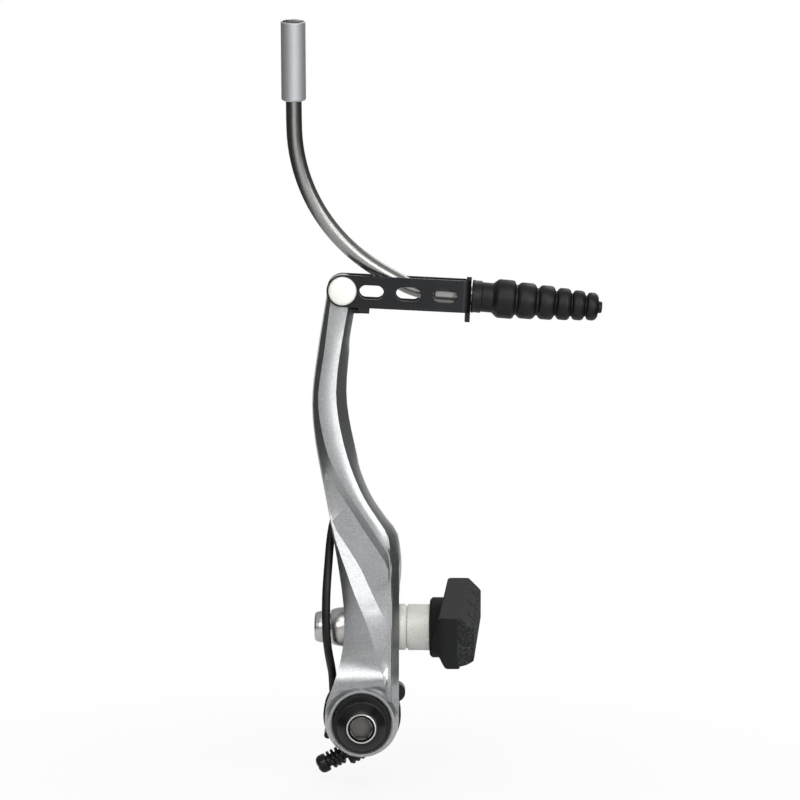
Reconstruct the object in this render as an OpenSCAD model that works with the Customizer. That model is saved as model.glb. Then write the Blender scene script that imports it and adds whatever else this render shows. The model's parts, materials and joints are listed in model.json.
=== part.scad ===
// One arm of a linear-pull brake, with its noodle, link, spring and shoe.
// X points to the rim, Y to the frame, Z up. The origin is on the pivot axis, in the plane of the shoe stud.

/* [Arm] */
// Distance from the pivot to the rivet of the link
arm_len = 107; // [100:1:112]
// Sideways place of the link rivet, away from the rim
eye_offset = 4.6; // [4:0.1:5.5]
// Radius of the round boss at the pivot
boss_r = 9.2; // [9:0.1:9.6]
// How far the boss rim stands in front of the stud plane
rim_front = 10; // [9.6:0.1:10.6]
// Where the boss ends towards the frame
boss_back = 1.2; // [0.9:0.1:1.4]
// Sideways place of the flat face that the shoe clamps on
clamp_face = 9.2; // [9:0.1:9.5]
// Thickness of the arm at the link
eye_w = 7.6; // [7:0.1:8]
// Radius of the eye that takes the rivet
eye_r = 3.8; // [3.6:0.05:3.85]
// Height of the step between the shank and the flat below it
step_h = 1.8; // [1:0.1:2.2]
// Width of the bevel along both sides of the front
bevel_w = 1.7; // [1.2:0.1:2]

/* [Pivot] */
// Radius of the hole that slides on the frame's post
post_hole_r = 4.05; // [4:0.01:4.1]
// Outer radius of the bushing
bushing_r = 5.5; // [5.3:0.1:5.7]
// Where the bushing's flange meets the frame
frame_seat = 9; // [8.8:0.1:9.4]
// Radius of the bushing's flange
bushing_flange_r = 7; // [6.5:0.1:7.5]
// Radius of the mounting bolt's shank
bolt_r = 3; // [2.9:0.05:3.1]
// Length of the mounting bolt under its flange
bolt_len = 16.2; // [14:0.2:17]
// Radius of the bolt's flange
bolt_flange_r = 7.4; // [7:0.1:7.5]
// Radius of the bolt's head
bolt_head_r = 6.1; // [5.6:0.1:6.2]
// Height of the bolt's head over its flange
bolt_head_h = 4.9; // [4:0.1:5.2]
// Width across the flats of the hexagon sockets
hex_af = 5; // [4:0.5:5]

/* [Spring] */
// Diameter of the spring wire
wire_d = 1.6; // [1.4:0.1:1.7]
// Mean radius of the coil round the bushing
coil_r = 7.2; // [7:0.1:7.3]
// Distance between turns of the coil
coil_pitch = 1.75; // [1.72:0.01:1.8]
// Outer diameter of the sleeve on the spring leg
sleeve_d = 2.2; // [2.1:0.05:2.3]
// Outer radius of the spring holder
holder_r = 9.7; // [9.5:0.1:9.9]
// Wall of the spring holder
holder_wall = 1.2; // [1:0.1:1.3]
// Radius of the pin that goes into the frame
stopper_r = 1.25; // [1.1:0.05:1.35]
// How far the pin stands out behind the seat
stopper_out = 5.4; // [4:0.2:6.5]
// Radius of the peg on the arm's back
peg_r = 1; // [0.8:0.05:1.1]

/* [Tension screw] */
// Slope of the tension screw in degrees
screw_slope = 27; // [24:1:30]
// Distance of the screw's axis from the pivot
screw_arm = 7.2; // [7:0.1:7.3]
// Radius of the screw's thread
screw_r = 1.5; // [1.3:0.05:1.6]
// Radius of the screw's head
screw_head_r = 2.35; // [2.2:0.05:2.5]
// Height of the screw's head
screw_head_h = 2.5; // [2:0.1:3]
// Wire of the small spring under the head
tiny_wire = 0.9; // [0.7:0.05:0.9]
// Length of the small spring
tiny_len = 5; // [4.5:0.1:5.4]

/* [Link] */
// Height of the link's side plates
link_h = 7.85; // [7.4:0.05:8]
// Thickness of the link's sheet
link_t = 1.2; // [1:0.1:1.3]
// Room between each side plate and the arm
link_room = 0.2; // [0.15:0.05:0.4]
// Distance from the rivet to the outside of the end plate
link_len = 31.5; // [30:0.5:33]
// Slope of the link in degrees
link_slope = 2.8; // [2:0.2:3.4]
// Length of each slot
slot_len = 6.05; // [5:0.05:6.6]
// Height of each slot
slot_h = 3.4; // [3:0.1:4]
// Distance between slots
slot_pitch = 9.04; // [8.6:0.02:9.4]
// Distance from the rivet to the first slot
slot_first = 7.1; // [6.9:0.1:7.6]
// Radius of the rivet's shank
rivet_r = 2.5; // [2:0.1:2.6]
// Radius of the rivet's heads
rivet_head_r = 3.5; // [3.2:0.1:3.6]
// Height of the rivet's heads
rivet_head_h = 1; // [0.8:0.1:1.2]

/* [Noodle] */
// Outer radius of the noodle's tube
tube_r = 2; // [1.9:0.05:2.1]
// Inner radius of the noodle's tube
tube_bore = 1.35; // [1.3:0.05:1.4]
// Inner radius of the liner, which the cable runs in
liner_bore = 0.85; // [0.8:0.05:0.9]
// Slope of the noodle's nose and of the boot in degrees
nose_slope = 5; // [4:0.5:6]
// How far the noodle leans forward about its nose in degrees
noodle_lean = 10.5; // [8:0.5:12]
// Small bend beside the nose in degrees
nose_bend = 25; // [23:0.5:26]
// Radius of that small bend
nose_bend_r = 18.7; // [18:0.1:20]
// Radius of the large bend
big_bend_r = 42.2; // [40:0.2:44]
// Slope of the top end past upright in degrees
top_tilt = 0; // [-1:0.1:2]
// Straight length between the bends
mid_run = 6; // [5:0.1:8]
// Straight length above the large bend, up to the ferrule
top_run = 6.1; // [3:0.1:8]
// Length of the ferrule
ferrule_len = 19.3; // [17:0.1:21]
// Outer radius of the ferrule
ferrule_r = 3; // [2.9:0.05:3.1]
// Radius of the socket for the cable housing
socket_r = 2.55; // [2.5:0.01:2.6]
// Depth of the socket for the cable housing
socket_len = 9; // [7:0.5:11]
// Radius of the nose that goes through the link
nose_r = 2.4; // [2.2:0.1:2.5]
// How far the nose reaches past the link's end plate
nose_out = 2.9; // [2.4:0.1:3.2]

/* [Boot] */
// Length of the boot
boot_len = 32.4; // [30:0.2:35]
// Radius of the boot's lip
boot_lip_r = 4.1; // [3.9:0.1:4.3]
// Wall of the boot
boot_wall = 1; // [0.8:0.1:1.2]
// Radius of the cable hole in the boot's tip
boot_hole_r = 0.85; // [0.8:0.05:0.9]

/* [Shoe] */
// Height of the shoe's stud over the pivot
stud_z = 22.6; // [22:0.2:24]
// Turn of the shoe about the upright axis in degrees
toe = 2.6; // [0:0.2:3]
// Radius of the stud
stud_r = 3; // [2.9:0.05:3.1]
// Width of the arm's slot for the stud
slot_w = 8; // [7.6:0.1:8.2]
// How far the shoe can go down in the slot
slide_down = 2; // [1.5:0.1:2.2]
// How far the shoe can go up in the slot
slide_up = 4; // [3:0.1:4.2]
// Radius of the washers on the rim side
washer_r = 5.75; // [5.5:0.05:5.9]
// Radius of the washers in the outer pocket
cup_r = 4.9; // [4.7:0.05:5]
// Depth of the pocket's floor from the clamp face
web_t = 10.7; // [10.4:0.1:11]
// Radius of the ball that the rim-side washers share
ball_r = 9.5; // [9.3:0.1:9.7]
// Distance from the clamp face to the spacer's rim
spacer_start = 2.3; // [2.2:0.1:2.6]
// Length of the spacer
spacer_len = 5.5; // [5:0.1:10]
// Radius of the collar on the back of the shoe
collar_r = 7.5; // [7:0.1:8]
// Height of that collar
collar_h = 2.2; // [1.8:0.1:3]
// Length of the shoe
shoe_len = 70; // [55:1:72]
// Thickness of the shoe
shoe_t = 9.6; // [9:0.1:11]
// Height of the shoe over the stud
shoe_up = 7.5; // [7:0.1:8]
// Depth of the shoe under the stud
shoe_down = 4.7; // [4.4:0.1:5]
// Thickness of the steel plate in the shoe
plate_t = 1.5; // [1.2:0.1:1.8]
// Radius of the shoe's nut
nut_r = 4.1; // [3.9:0.05:4.2]
// Length of the shoe's nut
nut_len = 4.1; // [3.8:0.1:4.6]

/* [Clearances] */
// Radial clearance of a shaft that turns in its hole
run_fit = 0.05; // [0.03:0.01:0.08]
// Gap between faces that pass each other
face_gap = 0.1; // [0.08:0.01:0.15]
// Play round a piece that is held still
seat_gap = 0.02; // [0.01:0.01:0.03]

/* [Hidden] */
$fn = 64;

silver = [0.72, 0.73, 0.74];
black = [0.09, 0.09, 0.1];
steel = [0.55, 0.55, 0.56];
dark_steel = [0.3, 0.31, 0.33];
pale_alloy = [0.75, 0.76, 0.77];

// Small overshoot of a cut past the face that it opens
cut = 1;

// Heights on the arm. The upper part stretches with the arm's length, the part below bend_z doesn't.
eye_x = -eye_offset;
eye_z = sqrt(arm_len * arm_len - eye_offset * eye_offset);
drawn_eye_z = 106.9;
bend_z = 36;
stretch = (eye_z - bend_z) / (drawn_eye_z - bend_z);
function high(z) = z <= bend_z ? z : bend_z + (z - bend_z) * stretch;
function drawn(z) = z <= bend_z ? z : bend_z + (z - bend_z) / stretch;

// The link straddles the arm's eye, and its middle plane also holds the noodle's nose and the boot
link_y = -4;
eye_front = link_y - eye_w / 2;
eye_back = link_y + eye_w / 2;
link_half = eye_w / 2 + link_room + link_t;

// Smooth curve through a short list of [height, value] points, with the slopes of its neighbours
function span_at(z, p, i = 0) = (i >= len(p) - 2 || z <= p[i + 1][0]) ? i : span_at(z, p, i + 1);
function slope_at(p, i) =
    let (a = p[max(i - 1, 0)], b = p[min(i + 1, len(p) - 1)])
    (b[1] - a[1]) / (b[0] - a[0]);
function curve(z, p) =
    let (i = span_at(z, p), h = p[i + 1][0] - p[i][0],
         t = max(0, min(1, (z - p[i][0]) / h)), m0 = slope_at(p, i) * h, m1 = slope_at(p, i + 1) * h)
    (2 * t * t * t - 3 * t * t + 1) * p[i][1] + (t * t * t - 2 * t * t + t) * m0
    + (3 * t * t - 2 * t * t * t) * p[i + 1][1] + (t * t * t - t * t) * m1;
function clamp(v, low, high) = max(low, min(high, v));

// Outline of the arm from the front: [height, sideways place] of its outer and its rim side
outer_side = [[0, -boss_r], [4, -boss_r + 0.35], [9, -7.1], [14, -5.5], [22, -4.3], [31, -4.7], [45, -6.9],
              [60, -9.7], [70, -11.5], [80, -12.2], [92, -10.8], [drawn_eye_z, eye_x - eye_r]];
rim_side = [[0, clamp_face], [38, clamp_face], [43, clamp_face - 0.4], [46.8, clamp_face - 1.1], [50.5, 5.8],
            [56, 2.3], [64, -1.1], [73, -3.5], [81, -4.5], [90, -3.75], [drawn_eye_z, eye_x + eye_r]];
// Lines on the front: the ridge over the boss, the valley above it, and the foot and top of the step.
// Ridge and valley enclose a narrow facet that runs up to a point on the outer side.
tip_z = 49;
ridge_line = [[8, 6.2], [15, 4.2], [20, 2.7], [26, 0.8], [31, -1.3], [39, -4.2], [45.7, -6.5],
              [tip_z, -7.2]];
valley_line = [[20, 7.6], [26, 5.5], [32, 2.6], [38, -0.1], [41, -1.9], [45.7, -4.9], [tip_z, -7]];
foot_line = [[36, 8.5], [46.5, 1.4], [56.6, -5.1], [63.6, -10.2]];
top_line = [[38, 8.2], [40.8, 7.2], [45.8, 4.1], [50.7, 1], [55.1, -2], [61.4, -5.7], [66, -8], [74, -10],
            [81, -10.6], [92, -9.1], [drawn_eye_z, eye_x - eye_r + 1.2]];
// Depths of those lines, and of the two sides and the back
// Above the boss the front falls back in a hollow before it rises to the ridge
ridge_y = [[0, -6], [5, -7.9], [9.5, -9.7], [11.3, -9.3], [14, -8.6], [17, -8.3], [20, -8.6], [26, -9.5],
           [31, -9.7], [36, -9.1], [41, -8.35], [45.7, -7.7], [50, -7], [64, -6.7], [drawn_eye_z, -6.2]];
valley_y = [[0, -6], [5, -7.9], [10, -9], [14, -8.3], [17, -8.1], [26, -8.25], [31, -8.15], [36, -7.65],
            [41, -7.2], [tip_z, -6.9], [64, -6.8], [drawn_eye_z, -6.6]];
foot_y = [[0, -6], [5, -7.9], [10, -9], [14, -8.3], [20, -8.15], [30, -8.2], [40, -7.5], [50, -7.3],
          [63, -7.2], [drawn_eye_z, -7]];
shank_y = [[0, -6], [5, -7.9], [10, -9], [22, -8.9], [30, -8.6], [38, -8.9], [45, -9.3], [63, -9.2],
           [80, -8.9], [95, -8.3], [102, eye_front], [drawn_eye_z, eye_front]];
crown_h = [[0, 0], [38, 0], [50, 0.15], [90, 0.12], [102, 0], [drawn_eye_z, 0]];
bevel_y = [[0, -5.6], [5, -7.4], [10, -8.4], [30, -8.2], [38, -8.5], [45, -9], [63, -8.9], [80, -8.6],
           [95, -8.1], [102, eye_front + 0.1], [drawn_eye_z, eye_front + 0.1]];
side_y = [[0, -5.2], [8, -7.4], [11.3, -7.1], [14, -6.5], [17, -6.2], [34, -6.2], [46, -4.6], [60, -4],
          [drawn_eye_z, -4]];
back_y = [[0, boss_back], [11.3, boss_back], [12, 7.5], [32.5, 7.5], [36, 4.5], [40, 2], [44, 0.7],
          [48, 0.2], [60, 0], [102, eye_back], [drawn_eye_z, eye_back]];
flange_out = [[0, 0], [30, 0], [36, 0.6], [46, 0.6], [52, 0], [62, 0.1], [68, 0.7], [90, 0.6], [96, 0],
              [drawn_eye_z, 0]];

// Spherical washers: both pairs turn about one ball centre
ball_x = clamp_face + spacer_start - sqrt(ball_r * ball_r - 5.3 * 5.3) - 0.1;
pocket_x = clamp_face - web_t;
inner_ball_r = ball_x - pocket_x + 2.3;
cup_x = pocket_x - 2.6;
cup_end = pocket_x - 6.05;
collar_x = clamp_face + spacer_start + spacer_len;
back_x = collar_x + collar_h;
nut_end = cup_end - nut_len;
washer_bore = stud_r + 0.3;
dome_bore = slot_w / 2 - 0.2;
pocket_room = 0.8;

// Tension screw: its axis runs under the pivot and rises to the rim side
lug_near = 3.6;
lug_far = 8.4;
head_at = 15.95;
coil_back = 6.3;

// Spring: the coil starts at its screw end under the pivot, and its leg rises on the outer side
coil_turns = 2;
end_angle = 262;
leg_start_y = coil_back - coil_pitch * (coil_turns + (end_angle - 180) / 360);
leg_route = [[-7.15, 2.4, 4], [-7.25, 2.5, 8], [-7.5, 1.5, 11.2], [-7.9, -1.5, 14.2], [-8.35, -4.7, 17.6],
             [-8.7, -6.3, 21.5], [-8.8, -6.6, 26], [-8.75, -6.2, 31], [-8.5, -5.2, 35.5], [-8.2, -3.4, 39.5],
             [-7.9, -0.8, 43.5], [-7.3, 1.9, 47.6], [-6.3, 2.7, 51], [-5, 2.75, 54.4], [-3.9, 2.75, 57.4]];
peg_place = [leg_route[13][0] - sleeve_d / 2 - peg_r - 0.08, leg_route[13][2]];

// Nose of the noodle: a point on its axis at the outside of the link's end plate
function link_point(s, n = 0) =
    [eye_x + s * cos(link_slope) + n * sin(link_slope), link_y,
     eye_z - s * sin(link_slope) + n * cos(link_slope)];
nose_at = link_point(link_len);
shoulder_back = 4.1;
tube_start = 6.4;

// Sweep of a round wire along points, as rings that keep facing the last direction
function unit(v) = v / norm(v);
function heading(p, i) = unit(p[min(i + 1, len(p) - 1)] - p[max(i - 1, 0)]);
function ring(centre, dir, guide, r, sides) =
    let (a = unit(cross(guide, dir)), b = cross(dir, a))
    [for (k = [0:sides - 1]) centre + r * (cos(360 * k / sides) * a + sin(360 * k / sides) * b)];
function smooth(p, steps) = concat(
    [for (i = [0:len(p) - 2], k = [0:steps - 1])
        let (t = k / steps, a = p[max(i - 1, 0)], b = p[i], c = p[i + 1], d = p[min(i + 2, len(p) - 1)])
        0.5 * (2 * b + (c - a) * t + (2 * a - 5 * b + 4 * c - d) * t * t
               + (3 * b - a - 3 * c + d) * t * t * t)],
    [p[len(p) - 1]]);
module wire(p, r, guides, sides = 8) {
    rings = [for (i = [0:len(p) - 1]) ring(p[i], heading(p, i), guides[i], r, sides)];
    loft(rings);
}
// Closed solid through rings of points, each ring with the same count
module loft(rings) {
    n = len(rings[0]);
    last = len(rings) - 1;
    polyhedron(
        points = [for (r = rings) each r],
        faces = concat(
            [[for (k = [0:n - 1]) k]],
            [for (i = [0:last - 1], k = [0:n - 1], half = [0, 1])
                let (a = i * n + k, b = i * n + (k + 1) % n)
                half == 0 ? [b + n, b, a] : [a + n, b + n, a]],
            [[for (k = [n - 1:-1:0]) last * n + k]]),
        convexity = 10);
}

// A solid of revolution about the Y axis, from a profile of [radius, depth] points
module turned_y(profile) {
    rotate([90, 0, 0]) rotate_extrude() polygon([for (p = profile) [p[0], -p[1]]]);
}
// A solid of revolution about the X axis, from a profile of [radius, place along X] points
module turned_x(profile) {
    rotate([0, 90, 0]) rotate_extrude() polygon(profile);
}
module rod_y(r, from, to, x = 0, z = 0) {
    translate([x, from, z]) rotate([-90, 0, 0]) cylinder(r = r, h = to - from);
}
module rod_x(r, from, to) {
    translate([from, 0, 0]) rotate([0, 90, 0]) cylinder(r = r, h = to - from);
}
module hexagon(af, h) {
    cylinder(r = af / sqrt(3), h = h, $fn = 6);
}

// Pieces at the pivot
module pivot_bushing() {
    color(steel) turned_y([
        [post_hole_r, -rim_front + 0.8], [bushing_r - 0.3, -rim_front + 0.8], [bushing_r, -rim_front + 1.1],
        [bushing_r, frame_seat - 0.6], [bushing_flange_r, frame_seat - 0.6],
        [bushing_flange_r, frame_seat], [post_hole_r, frame_seat]]);
}

module mounting_bolt() {
    under = -rim_front + 0.8;
    flange_front = under - 1.4;
    shoulder = flange_front - bolt_head_h;
    face = shoulder - 1.9;
    ring_r = hex_af / sqrt(3) + 0.45;
    socket_depth = 4.2;
    color(black) difference() {
        turned_y([
            [0, under + bolt_len], [bolt_r - 0.6, under + bolt_len], [bolt_r, under + bolt_len - 0.6],
            [bolt_r, under], [bolt_flange_r - 0.3, under], [bolt_flange_r, under - 0.3],
            [bolt_flange_r, under - 1], [bolt_flange_r - 0.4, flange_front], [bolt_head_r, flange_front],
            [bolt_head_r - 0.1, shoulder + 0.4], [bolt_head_r - 0.4, shoulder],
            [bolt_head_r - 1.2, shoulder - 0.9], [ring_r + 0.7, face + 0.15], [ring_r + 0.3, face],
            [0, face]]);
        translate([0, face + socket_depth, 0]) rotate([90, 0, 0]) hexagon(hex_af, socket_depth + cut);
        turned_y([[0, face + 0.7], [ring_r - 0.55, face + 0.7], [ring_r, face], [ring_r, face - cut],
                  [0, face - cut]]);
    }
}

// Puts its children on the tension screw's axis, with local X along the screw, from head to tip
module on_screw() {
    translate([screw_arm * sin(screw_slope), coil_back, -screw_arm * cos(screw_slope)])
        rotate([0, -screw_slope, 0]) translate([-head_at, 0, 0]) children();
}
lug_from = screw_head_h + face_gap + tiny_len + face_gap;
screw_tip = 10.1;
screw_dog_r = screw_r - 0.4;
screw_lug_r = 3.2;

module spring_holder() {
    inner = holder_r - holder_wall;
    floor_y = lug_far - 1;
    color(black) difference() {
        union() {
            turned_y([[bushing_r + seat_gap, floor_y], [inner, floor_y], [inner, boss_back + 0.3],
                      [holder_r, boss_back + 0.3], [holder_r, lug_far - 0.3], [holder_r - 0.3, lug_far],
                      [bushing_r + seat_gap, lug_far]]);
            difference() {
                union() {
                    rod_y(pin_root_r + 0.75, lug_near, lug_far, pin_place[0], pin_place[1]);
                    rod_y(0.9, boss_back + 0.4, lug_far, -holder_r * cos(31) - 0.3, -holder_r * sin(31));
                    on_screw() intersection() {
                        rod_x(screw_lug_r, lug_from, lug_from + 6);
                        translate([0, -4, -4]) cube([30, 4 + lug_far - coil_back, 8]);
                    }
                    on_screw() for (k = [0:2]) difference() {
                        rod_x(screw_lug_r + 0.3, lug_from + 0.4 + 1.3 * k, lug_from + 1 + 1.3 * k);
                        translate([0, lug_far - coil_back, -4]) cube([30, 3, 8]);
                    }
                }
                rod_y(inner, 0, floor_y);
            }
        }
        rod_y(pin_root_r + seat_gap, lug_near + 1, lug_far + cut, pin_place[0], pin_place[1]);
        on_screw() rod_x(screw_r + run_fit, lug_from - cut, 14);
        translate([-holder_r - cut, boss_back, 3]) cube([5, 3.6, holder_r]);
        translate([tab_x - 1.2, coil_back - 1.2, -holder_r - cut]) cube([2.9, 2.4, 4]);
    }
}
pin_place = [8.5, 5.4];
pin_root_r = stopper_r + 0.3;

module stopper_pin() {
    end = frame_seat + stopper_out;
    color(steel) translate([pin_place[0], 0, pin_place[1]]) turned_y([
        [0, lug_near + 1 + seat_gap], [pin_root_r, lug_near + 1 + seat_gap], [pin_root_r, lug_far],
        [stopper_r, lug_far], [stopper_r, end - 0.5], [stopper_r - 0.5, end], [0, end]]);
}

module adjusting_screw() {
    color(black) on_screw() difference() {
        turned_x([[0, -0.3], [screw_head_r - 1.1, -0.2], [screw_head_r - 0.45, 0.1],
                  [screw_head_r - 0.1, 0.6], [screw_head_r, 1.1],
                  [screw_head_r, screw_head_h - 0.2], [screw_head_r - 0.2, screw_head_h],
                  [screw_r, screw_head_h], [screw_r, screw_tip - 0.8], [screw_dog_r, screw_tip - 0.4],
                  [screw_dog_r, screw_tip], [0, screw_tip]]);
        for (a = [0, 90]) rotate([a, 0, 0]) translate([-cut, -1.4, -0.35]) cube([cut + 1.1, 2.8, 0.7]);
    }
}

module adjuster_spring() {
    turns = 3.5;
    mean = screw_r + run_fit + 0.12 + tiny_wire / 2;
    from = screw_head_h + face_gap + tiny_wire / 2;
    travel = tiny_len - tiny_wire;
    steps = 42;
    pts = [for (i = [0:steps])
        let (a = 360 * turns * i / steps)
        [from + travel * i / steps, mean * cos(a), mean * sin(a)]];
    color(black) on_screw() wire(pts, tiny_wire / 2, [for (p = pts) [1, 0, 0]], 6);
}

// Coil points run from the leg down and round to the screw end, then out along the tab
coil_steps = 54;
coil_span = 360 * coil_turns + end_angle - 180;
coil_points = [for (i = [0:coil_steps])
    let (a = 180 + coil_span * i / coil_steps)
    [coil_r * cos(a), leg_start_y + (coil_back - leg_start_y) * i / coil_steps, coil_r * sin(a)]];
tab_x = -0.49;
tab_points = [[tab_x - 0.16, coil_back, -coil_r - 0.05], [tab_x - 0.01, coil_back, -coil_r - 0.4],
              [tab_x, coil_back, -coil_r - 1.1], [tab_x, coil_back, -coil_r - 2.7]];
leg_points = smooth(concat([[-coil_r, leg_start_y, 0.5]], leg_route), 2);
leg_count = len(leg_points);
leg_down = [for (i = [leg_count - 1:-1:0]) leg_points[i]];

module return_spring() {
    pts = concat(leg_down, coil_points, tab_points);
    guides = [for (i = [0:len(pts) - 1]) i < leg_count ? [0.3, 1, 0] : [0, 1, 0.001]];
    color(black) wire(pts, wire_d / 2, guides);
}

// Closed pipe along points, with rings outside and inside
module pipe(p, r, bore, guides, sides = 8) {
    outer = [for (i = [0:len(p) - 1]) each ring(p[i], heading(p, i), guides[i], r, sides)];
    inner = [for (i = [0:len(p) - 1]) each ring(p[i], heading(p, i), guides[i], bore, sides)];
    count = len(outer);
    far = count - sides;
    polyhedron(
        points = concat(outer, inner),
        faces = concat(
            [for (i = [0:len(p) - 2], k = [0:sides - 1], wall = [0, 1], half = [0, 1])
                let (a = wall * count + i * sides + k, b = wall * count + i * sides + (k + 1) % sides,
                     face = half == 0 ? [b + sides, b, a] : [a + sides, b + sides, a])
                wall == 0 ? face : [face[2], face[1], face[0]]],
            [for (k = [0:sides - 1], half = [0, 1])
                let (b = (k + 1) % sides)
                half == 0 ? [count + b, count + k, k] : [b, count + b, k]],
            [for (k = [0:sides - 1], half = [0, 1])
                let (a = far + k, b = far + (k + 1) % sides)
                half == 0 ? [a, a + count, b + count] : [a, b + count, b]]),
        convexity = 10);
}

module spring_sleeve() {
    pts = [for (i = [3:leg_count - 3]) leg_points[i]];
    color(black) pipe(pts, sleeve_d / 2, wire_d / 2 + 0.06, [for (p = pts) [0.3, 1, 0]]);
}

// The arm
function arm_ring(z) =
    let (d = drawn(z), e = 0.3,
         xo = curve(d, outer_side), xr = curve(d, rim_side), xb = xr - bevel_w,
         r = clamp(d > tip_z ? xo : curve(d, ridge_line), xo + e, xb - 5 * e),
         v = clamp(d > tip_z ? xo : d < 20 ? xr : curve(d, valley_line), r + e, xb - 4 * e),
         f = clamp(d > 63.6 ? xo : d < 36 ? xr : curve(d, foot_line), v + e, xb - 3 * e),
         t = clamp(d < 38 ? xr : curve(d, top_line), f + e, xb - 2 * e),
         c = (t + xb) / 2,
         low = 1 - clamp((d - 34) / 6, 0, 1),
         ys = curve(d, foot_y) * low + (curve(d, shank_y) - 0.5 * (step_h - 1.8)) * (1 - low),
         ym = curve(d, side_y), yb = curve(d, back_y), out = curve(d, flange_out))
    [[xo, ym, z], [r, curve(d, ridge_y), z], [v, curve(d, valley_y), z],
     [f, curve(d, foot_y) + 0.5 * (step_h - 1.8), z], [t, ys, z], [c, ys - curve(d, crown_h), z],
     [xb, curve(d, bevel_y), z], [xr, ym, z], [xr + out, yb - 1.6, z], [xr + out - 0.5, yb - 0.5, z],
     [xr - 1.4, yb, z], [xo + 1.5, yb, z], [xo + 0.4, yb - 1.4, z]];

ring_heights = concat(
    [0, 2.5, 5, 7.5, 9.5, 11.3, 12, 14, 17, 20, 23, 26, 29, 32.5, 34.5, 36, 38, 40, 42],
    [for (z = [44:2:66]) z], [for (z = [69:3.2:101]) z], [104, drawn_eye_z]);

module arm() {
    pocket_low = stud_z - slide_down;
    pocket_high = stud_z + slide_up;
    color(silver) difference() {
        union() {
            loft([for (d = ring_heights) arm_ring(high(d))]);
            turned_y([[0, boss_back], [boss_r - 0.6, boss_back], [boss_r, boss_back - 0.6], [boss_r, -5.6],
                      [boss_r - 0.35, -7.6], [bolt_flange_r + 0.8, -rim_front], [0, -rim_front]]);
            rod_y(eye_r, eye_front, eye_back, eye_x, eye_z);
        }
        rod_y(bolt_flange_r + 0.3, -rim_front - cut, -rim_front + 1);
        rod_y(bushing_r + run_fit, -rim_front, boss_back + cut);
        rod_y(rivet_r + run_fit, eye_front - cut, eye_back + cut, eye_x, eye_z);
        rod_y(peg_r + seat_gap, link_y, 9, peg_place[0], peg_place[1]);
        for (z = [pocket_low, pocket_high]) translate([0, 0, z]) {
            rod_x(slot_w / 2, pocket_x - cut, clamp_face + cut);
            rod_x(cup_r + pocket_room, -20, pocket_x);
            rod_x(washer_r + 0.3, clamp_face, clamp_face + 3);
        }
        translate([clamp_face, -washer_r - 0.3, pocket_low])
            cube([3, 2 * (washer_r + 0.3), pocket_high - pocket_low]);
        translate([pocket_x - cut, -slot_w / 2, pocket_low])
            cube([web_t + 2 * cut, slot_w, pocket_high - pocket_low]);
        translate([-20, -cup_r - pocket_room, pocket_low])
            cube([20 + pocket_x, 2 * (cup_r + pocket_room), pocket_high - pocket_low]);
        bumper_hole();
    }
}

module spring_peg() {
    color(steel) translate([peg_place[0], 0, peg_place[1]]) turned_y([
        [0, link_y + face_gap], [peg_r, link_y + face_gap], [peg_r, 4.6], [peg_r - 0.3, 4.9], [0, 4.9]]);
}

// The link and what sits on it
module on_link() {
    translate([eye_x, link_y, eye_z]) rotate([0, link_slope, 0]) children();
}

module link() {
    half = link_half;
    corner = 2;
    color(dark_steel) on_link() difference() {
        union() {
            intersection() {
                translate([0, 0, -link_h / 2]) linear_extrude(link_h) difference() {
                    union() {
                        translate([-link_h / 2, -half]) square([link_len + link_h / 2 - corner, 2 * half]);
                        translate([0, -half + corner]) square([link_len, 2 * (half - corner)]);
                        for (s = [-1, 1]) translate([link_len - corner, s * (half - corner)]) circle(corner);
                    }
                    translate([-link_h, -half + link_t])
                        square([link_h + link_len - link_t, 2 * (half - link_t)]);
                }
                union() {
                    rod_y(link_h / 2, -half - cut, half + cut);
                    translate([0, -half - cut, -link_h / 2]) cube([link_len, 2 * (half + cut), link_h]);
                }
            }
            translate([link_len - link_t, -2.6, -link_h / 2 - 2.4]) cube([link_t, 5.2, 2.5]);
            translate([link_len - link_t, -3.6, link_h / 2 - 0.1]) cube([link_t, 1.4, 1]);
        }
        rod_y(rivet_r + seat_gap, -half - cut, half + cut);
        for (k = [0:2]) translate([slot_first + k * slot_pitch, 0, 0])
            for (s = [-1, 1]) {
                rod_y(slot_h / 2, s > 0 ? half - link_t - cut : -half - cut,
                    s > 0 ? half + cut : -half + link_t + cut, s * (slot_len - slot_h) / 2);
                translate([-(slot_len - slot_h) / 2, s * half - 1.5 * link_t, -slot_h / 2])
                    cube([slot_len - slot_h, 3 * link_t, slot_h]);
                rod_y(slot_h / 2, s > 0 ? half - link_t - cut : -half - cut,
                    s > 0 ? half + cut : -half + link_t + cut, -s * (slot_len - slot_h) / 2);
            }
        rod_x(nose_r + 0.15, link_len - link_t - cut, link_len + cut);
        translate([link_len - link_t - cut, -1.2, 0]) cube([link_t + 2 * cut, 2.4, link_h]);
    }
}

module link_rivet() {
    half = link_half;
    rise = rivet_head_h;
    color(silver) translate([eye_x, link_y, eye_z]) turned_y([
        [0, -half - rise], [rivet_head_r - 0.8, -half - rise], [rivet_head_r - 0.2, -half - rise + 0.25],
        [rivet_head_r, -half - rise + 0.6], [rivet_head_r, -half], [rivet_r, -half], [rivet_r, half],
        [rivet_head_r - 0.4, half], [rivet_head_r - 0.5, half + rise - 0.3], [rivet_head_r - 1, half + rise],
        [0, half + rise]]);
}

bumper_top = link_h / 2 + face_gap;
module bumper_hole() {
    on_link() translate([-0.5, 0, -bumper_top - 0.65]) rod_x(1 + seat_gap, -0.5, 4);
}
module link_bumper() {
    wide = 2 * link_half + 0.6;
    color(black) on_link() translate([0, 0, -bumper_top - 1.2]) union() {
        translate([4.1, -wide / 2, 0]) cube([2.7, wide, 1.2]);
        translate([-0.5, 0, 0.55]) rod_x(1, 0, 4.9);
    }
}

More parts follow.
